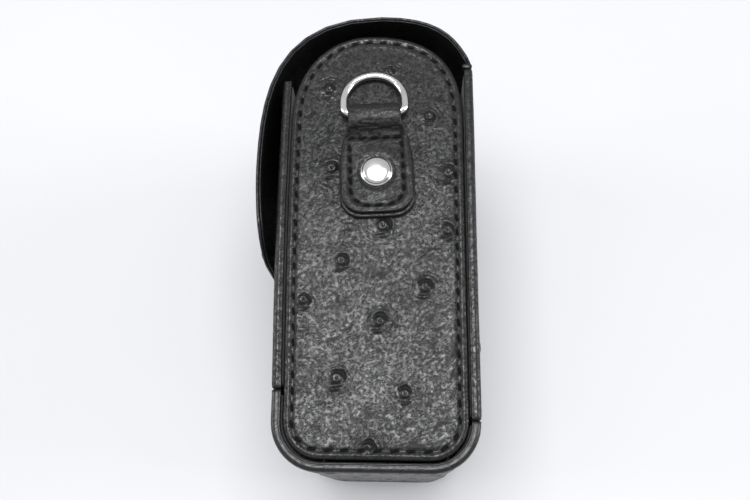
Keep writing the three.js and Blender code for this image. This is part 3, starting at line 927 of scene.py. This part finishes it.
def turned(name, profile, place, axis, material, sides=64):
    """A piece turned from (radius, height) points in millimetres, standing on a place in
    metres along an axis. The profile starts and ends on the axis, or closes on itself."""
    turn = Vector((0, 0, 1)).rotation_difference(Vector(axis)).to_matrix()
    rings, vertices, faces = [], [], []
    for radius, height in profile:
        angles = ring_angles(sides) if radius > 0 else [0.0]
        rings.append(list(range(len(vertices), len(vertices) + len(angles))) * (sides // len(angles)))
        for a in angles:
            spot = Vector((radius * math.cos(a), radius * math.sin(a), height)) * MM
            vertices.append(turn @ spot + Vector(place))
    if profile[0][0] > 0:
        rings.append(rings[0])
    for one, two in zip(rings, rings[1:]):
        for k in range(sides):
            n = (k + 1) % sides
            faces.append(list(dict.fromkeys((one[k], two[k], two[n], one[n]))))
    return new_piece(name, np.array(vertices), faces, material)


def arc_points(radius, height, round_radius, start, stop, steps=6):
    """Points of a rounded edge, centred at a radius and height, in (radius, height)."""
    return [(radius + round_radius * math.cos(a), height + round_radius * math.sin(a))
            for a in np.linspace(math.radians(start), math.radians(stop), steps)]


# --- strap anchors ---

# A tab's places are in its own frame: the rivet is the origin, X runs along the ring's bar,
# Y towards the ring, and Z out of the end panel.
TAB = {"thickness": 1.2, "gap": 0.15, "half_width": 9.5, "bottom": -10.8, "under_step": 0.8,
       "corner": 5.5, "shoulder": 10.0, "neck": 13.2, "foot": 9.8, "crest": 0.9, "taper": 1.0,
       "loop_half_width": 6.8, "upper_slimmer": 0.35, "rim": 0.4}
TAB_SEAM = {"half_width": 6.7, "bottom": -8.9, "top": 9.6, "corner": 4.6, "square_corner": 0.4}
RING = {"wire": 1.0, "wire_end": 0.82, "half_joint": 0.15, "side": 8.0, "corner": 2.0, "bow": 3.5,
        "rest_tilt": math.radians(5)}
RIVET = {"cap": 4.05, "shank": 1.5, "rim": 0.24, "dome": 1.12, "blunt": 2 / 2.7, "foot": 0.7}
UPPER_LEAF = 1.5 * TAB["thickness"] + 2 * TAB["gap"]
END_DEPTH = 2.6


def anchor_frame(end, side):
    """The matrix from a tab's own frame, in millimetres, to the model's frame in metres."""
    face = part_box(f"{end}_end_leather")[1 if side > 0 else 0][2]
    axis = JOINTS["near_ring_swing"]["axis"]
    place = Vector((*box_middle(f"{end}_rivet_cap")[:2], face))
    turn = Matrix.Rotation(math.atan2(axis[1], axis[0]), 4, "Z")
    return Matrix.Translation(place) @ turn @ Matrix.Diagonal((MM, MM, side * MM, 1))


def bar_place(end, frame_matrix):
    return frame_matrix.inverted() @ Vector(JOINTS[f"{end}_ring_swing"]["pos_m"])


def carried(points, matrix):
    """Places in millimetres, taken through a matrix and given back in millimetres."""
    m = np.array(matrix)
    return (points @ m[:3, :3].T + m[:3, 3]) / MM


def tab_fold(bar):
    """The outer line of the folded tab, in (Y, Z): up the under leaf, round the bar and down
    the upper leaf."""
    half = TAB["thickness"] / 2
    under, upper = TAB["gap"] + half, UPPER_LEAF
    loop = RING["wire"] + TAB["gap"] + half
    line = [(y, under) for y in np.linspace(TAB["bottom"] - TAB["under_step"], bar.y - 0.6, 30)]
    for angle in np.linspace(-QUARTER, QUARTER, 24):
        line.append((bar.y + loop * math.cos(angle), bar.z + loop * math.sin(angle)))
    crest = (bar.y - TAB["crest"], line[-1][1])
    for t in np.linspace(0, 1, 12):
        drop = smoothstep(t, 0, 1)
        line.append((crest[0] + (TAB["foot"] - crest[0]) * t, crest[1] + (upper - crest[1]) * drop))
    line += [(y, upper) for y in np.linspace(TAB["foot"] - 0.6, TAB["bottom"], 30)]
    line = smooth_line(np.array(line), 0.15, 0.7, False)
    return line - inward(line, closed=False) * half


def tab_half_width(y):
    """The tab's half width at a height: round corners below, narrowing to the loop above."""
    wide, corner = TAB["half_width"], TAB["corner"]
    low = TAB["bottom"] - TAB["under_step"]
    rise = np.clip(y - low, 0, corner)
    round_off = corner - np.sqrt(corner ** 2 - (corner - rise) ** 2)
    taper = smoothstep(y, 2, TAB["shoulder"] + 1) * TAB["taper"]
    narrowing = wide - TAB["taper"] - TAB["loop_half_width"]
    neck = smoothstep(y, TAB["shoulder"] - 0.6, TAB["neck"]) * narrowing
    return wide - round_off - taper - neck


def tab_outline(line, length):
    """The unfolded tab, as (distance along the fold, X), anticlockwise."""
    along = np.linspace(0, length, 260)
    y = np.interp(along, distances_along(line), line[:, 0])
    upper = along > length / 2
    step = TAB["under_step"]
    slimmer = np.where(upper, TAB["upper_slimmer"], 0.0)
    slimmer = slimmer * (1 - smoothstep(y, TAB["neck"] - 2, TAB["neck"]))
    width = tab_half_width(np.where(upper, y - step, y)) - slimmer
    return np.vstack([np.stack([along, -width], 1), np.stack([along, width], 1)[::-1]])


def strap_relief(seam, stitches, rivet, length, seed):
    """Smooth strap leather: a swell, its seam's furrow and stitch pits, the dent round the
    rivet, and the creases where the loop is pinched above the seam. Also gives painted shade for the
    folds, the pinched neck and the seam."""
    tree = plan_tree(resample(seam, LINE_PITCH, True))

    def height(x, y, edge):
        to_seam = np.array([tree.find((a, b, 0))[2] for a, b in zip(x, y)])
        on_upper = smoothstep(x, length * 0.55, length * 0.6)
        furrow = -0.13 * bell(to_seam, 0, 0.55) * on_upper
        radius = np.hypot(x - rivet, y)
        dent = (-0.2 * bell(radius, 4.2, 0.6) + 0.05 * bell(radius, 5.6, 1.0)) * on_upper
        folds = creases(x / 3.4, y / 5.5, x / 2.2 + y / 9, seed) * noise(x / 5, y / 5, 2.0, seed)
        swell = 0.26 * (noise(x / 5.5, y / 5.5, 4.0, seed) - 0.5)
        edge_roll = 0.14 * bell(edge, 1.2, 0.7) * on_upper
        foot = rivet - TAB["foot"]
        neck = bell(x, foot - 1.6, 2.0) * (np.abs(y) < 8)
        puckers = creases(x / 0.8, y / 2.6, 3.1, seed + 3) * neck
        dip = -0.3 * bell(x, foot - 1.5, 1.2) * on_upper
        total = furrow + dent + swell + edge_roll + dip - 0.035 * folds - 0.5 * puckers
        near = (to_seam < PIT["search"]) & (on_upper > 0)
        total = total + stitch_pits(x, y, near, stitches)
        # painted shade: dark in the folds and puckers, across the neck under the loop and along the seam
        shade = 0.5 * folds + puckers + bell(x, foot - 1.9, 2.1) * on_upper
        return total, np.clip(shade + 0.8 * bell(to_seam, 0, 0.4) * on_upper, 0, 1)
    return height


def tab(end, frame_matrix, seed):
    line = tab_fold(bar_place(end, frame_matrix))
    bend, length = wall_lift(line)

    def lift(u, v, depth):
        folded = bend(u, v, depth)
        return carried(folded[:, [2, 0, 1]], frame_matrix)
    outline = resample(tab_outline(line, length), TAB_EDGE_PITCH, True)

    def down_to(y):
        return length - (y - TAB["bottom"])
    low = (down_to(TAB_SEAM["top"]), -TAB_SEAM["half_width"])
    high = (down_to(TAB_SEAM["bottom"]), TAB_SEAM["half_width"])
    corner = TAB_SEAM["corner"]
    square = TAB_SEAM["square_corner"]
    seam = rounded_outline(low, high, [square, corner, corner, square], LINE_PITCH)
    stitches = stitch_places(seam, TAB_STITCH, 0)
    height = strap_relief(seam, stitches, down_to(0), length, seed)
    rim = plain_rim(TAB["thickness"], TAB["rim"])
    strap = plate(f"{end}_tab_strap", outline, lift, rim, STRAP, TAB_PITCH, height, under_pitch=0.9)
    dress(strap, "shell", "strap_leather", f"{end}_strap_tab")
    dress(thread(f"{end}_tab_stitches", stitches, TAB_STITCH, lift), "shell", "strap_leather")


def d_ring(end, frame_matrix):
    """A bent wire ring, swept round its bar and bow, with the butt joint left in the bar."""
    side, corner, bow = RING["side"], RING["corner"], RING["bow"]
    centre = side - corner
    path = [(x, 0) for x in np.linspace(RING["half_joint"], centre, 16)]
    path += [(centre + corner * math.sin(a), corner - corner * math.cos(a))
             for a in np.linspace(0, QUARTER, 12)[1:]]
    path += [(side * math.cos(a), bow + side * math.sin(a)) for a in np.linspace(0, QUARTER, 40)]
    path += [(-x, y) for x, y in path[::-1][1:]]
    path = smooth_line(np.array(path), LINE_PITCH, 0.5, False)
    sides = 24
    ring = ring_angles(sides)
    radius = np.full(len(path), RING["wire"])
    radius[[0, -1]] *= RING["wire_end"]
    rows = []
    for place, normal, wire in zip(path, inward(path, closed=False), radius):
        flat = np.outer(wire * np.cos(ring), normal) + place
        rows.append(np.column_stack([flat, wire * np.sin(ring)]))
    tilt = Matrix.Rotation(-RING["rest_tilt"], 4, "X")
    matrix = frame_matrix @ Matrix.Translation(bar_place(end, frame_matrix)) @ tilt
    places = carried(np.vstack(rows), matrix) * MM
    piece = new_piece(f"{end}_d_ring_wire", places, tube_faces(len(rows), sides), NICKEL)
    dress(piece, f"{end}_ring", "nickel", f"{end}_d_ring")


def rivet(end, frame_matrix, side):
    """A capped rivet: a shank through the tab and panel, and a low dome with a rolled rim."""
    under = UPPER_LEAF + TAB["thickness"] / 2 + 0.02
    cap, shank, rim, dome, blunt, foot = RIVET.values()
    end_of_shank = -END_DEPTH - foot
    profile = [(0, end_of_shank), (shank, end_of_shank), (shank, under + 0.25), (cap - 0.5, under + 0.1)]
    profile += arc_points(cap - rim, under + 0.28, rim, -90, 60)
    flat, dome_foot = cap - 0.42, under + 0.45
    profile += [(flat * math.cos(a) ** blunt, dome_foot + dome * math.sin(a) ** blunt)
                for a in np.linspace(0.06, QUARTER, 22)[:-1]]
    profile.append((0, dome_foot + dome))
    place = frame_matrix.translation
    piece = turned(f"{end}_rivet", profile, place, (0, 0, side), NICKEL)
    dress(piece, "shell", "nickel", f"{end}_rivet_cap")
    profile = [(1.7, -END_DEPTH - 0.1), (4.2, -END_DEPTH - 0.1)]
    profile += arc_points(4.3, -END_DEPTH - 0.4, 0.2, 60, -60) + [(4.1, end_of_shank)]
    profile += [(2.3, end_of_shank), (1.75, -END_DEPTH - 0.62)]
    piece = turned(f"{end}_rivet_back", profile, place, (0, 0, side), STEEL, 48)
    dress(piece, "shell", "steel", f"{end}_rivet_washer")


# --- snap ---

def snap():
    """The stud on the front wall, its backing washer inside, and the socket in the flap."""
    low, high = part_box("snap_stud")
    post, shank = 2.9, 1.4
    base = (high[0] - low[0]) / MM - post
    face = Vector((high[0] - post * MM, *box_middle("snap_stud")[1:]))
    profile = [(0, -post), (shank, -post), (shank, 0.1), (4.2, 0.1)]
    profile += arc_points(4.25, 0.35, 0.25, -80, 80)
    profile += [(3.4, 0.66), (2.6, 0.72), (1.75, 0.8), (1.7, 1.15)]
    profile += arc_points(1.75, 1.75, 0.45, -60, 90, 8) + [(0.9, base), (0, base + 0.05)]
    dress(turned("snap_post", profile, face, (-1, 0, 0), NICKEL), "shell", "nickel", "snap_stud")
    low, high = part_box("snap_back_washer")
    thick = (high[0] - low[0]) / MM
    inner = Vector((low[0], *box_middle("snap_back_washer")[1:]))
    profile = [(1.75, 0.04), (4.3, 0.04), (4.5, 0.2), (4.45, thick - 0.12), (4.2, thick),
               (2.4, thick), (1.8, 0.42)]
    piece = turned("snap_washer", profile, inner, (1, 0, 0), STEEL, 48)
    dress(piece, "shell", "steel", "snap_back_washer")
    socket_in_flap()


def socket_in_flap():
    """The socket lies flat on the flap's lining, which leans a little there."""
    outward = -flap_lean()
    height, outer, inner = 1.6, 4.95, 2.6
    foot = box_middle("snap_socket") + outward * height * 0.5 * MM
    profile = [(inner, 0.05), (outer - 0.3, 0.0)]
    profile += arc_points(outer - 0.3, 0.3, 0.3, -90, 60)
    profile += [(3.9, 0.72), (3.5, 1.0)] + arc_points(3.2, 1.3, 0.3, 0, 110) + [(inner, 1.45)]
    piece = turned("snap_socket_ring", profile, foot, -outward, NICKEL, 48)
    dress(piece, "flap", "nickel", "snap_socket")


def flap_lean():
    """The way out of the flap's inner face at the snap: into the case."""
    line = outer_line("flap_leather")
    level = box_middle("snap_socket").y / MM
    normals = inward(line, closed=False)
    front = line[:, 0] < CASE_MIDDLE[0]
    nearest = min(np.nonzero(front)[0], key=lambda k: abs(line[k, 1] - level))
    return Vector((normals[nearest][0], normals[nearest][1], 0)).normalized()


# --- scene ---

def camera():
    """The camera stands over the near end panel, turned by azimuth, elevation and roll."""
    low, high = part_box("near_end_leather")
    data = bpy.data.cameras.new("camera")
    data.sensor_width = SENSOR_WIDTH
    data.lens = CAMERA_LENS
    data.clip_start, data.clip_end = 0.01, 20
    made = added("camera", data)
    place = Vector(((low[0] + high[0]) / 2, low[1], high[2])) + Vector(CAMERA_OFFSET) * MM
    turn = Matrix.Translation(place)
    for degrees, axis in ((CAMERA_AZIMUTH, "Z"), (90 - CAMERA_ELEVATION, "X"), (CAMERA_ROLL, "Z")):
        turn = turn @ Matrix.Rotation(math.radians(degrees), 4, axis)
    made.matrix_world = turn
    bpy.context.scene.camera = made


def area_light(name, place, target, size, power):
    data = bpy.data.lights.new(name, "AREA")
    data.shape = "RECTANGLE"
    data.size, data.size_y = size
    data.energy = power
    light = added(name, data)
    light.location = place
    light.rotation_euler = (Vector(target) - Vector(place)).to_track_quat("-Z", "Y").to_euler()


def studio():
    """A pale floor that the case's far rim and far strap loop both touch, and soft light."""
    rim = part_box("bottom_panel_leather")[0]
    loop_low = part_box("far_strap_tab")[0]
    crest_y = JOINTS["far_ring_swing"]["pos_m"][1]
    slope = math.atan2(rim.z - loop_low.z, crest_y - rim.y)
    mesh = bpy.data.meshes.new("floor")
    corners = [(x * FLOOR_REACH, y * FLOOR_REACH, 0) for x, y in ((-1, -1), (1, -1), (1, 1), (-1, 1))]
    mesh.from_pydata(corners, [], [(0, 1, 2, 3)])
    n = Nodes("pale_paper")
    color = n.mix(n.spread(n.noise(300.0), 0, 1), *FLOOR_TONES)
    mesh.materials.append(n.finish(color=color, roughness=0.6, specular=0.3))
    floor = added("floor", mesh)
    floor.location = (0, crest_y, loop_low.z - 0.05 * MM)
    floor.rotation_euler = (-slope, 0, 0)
    for name, light in LIGHTS.items():
        area_light(name, *light)
    world = bpy.data.worlds.new("soft_white")
    world.use_nodes = True
    background = world.node_tree.nodes["Background"]
    background.inputs["Color"].default_value = WORLD_COLOR
    background.inputs["Strength"].default_value = WORLD_STRENGTH
    bpy.context.scene.world = world
    view = bpy.context.scene.view_settings
    view.view_transform = "Standard"
    view.exposure, view.gamma = EXPOSURE, CONTRAST


def build():
    camera()
    studio()
    wall_panel("front", SEEDS["front"])
    wall_panel("bottom", SEEDS["bottom"], 0.1, finish=BASE, calm=0.4)
    wall_panel("back", SEEDS["back"], 0.08, trim=0.7, board_end=6.5)
    fold_over_back()
    low, high = (np.array(corner)[:2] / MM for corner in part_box("near_end_leather"))
    foot = ((low[0] + high[0]) / 2, low[1])
    end_panel("near", 1, [(foot[0] + x, foot[1] + y) for x, y in NEAR_QUILLS], SEEDS["near"])
    end_panel("far", -1, scattered(low, high, QUILL_SPACING, SEEDS["far"]), SEEDS["far"])
    flap()
    for end, side in (("near", 1), ("far", -1)):
        matrix = anchor_frame(end, side)
        tab(end, matrix, SEEDS[f"{end}_tab"])
        d_ring(end, matrix)
        rivet(end, matrix, side)
    snap()


build()
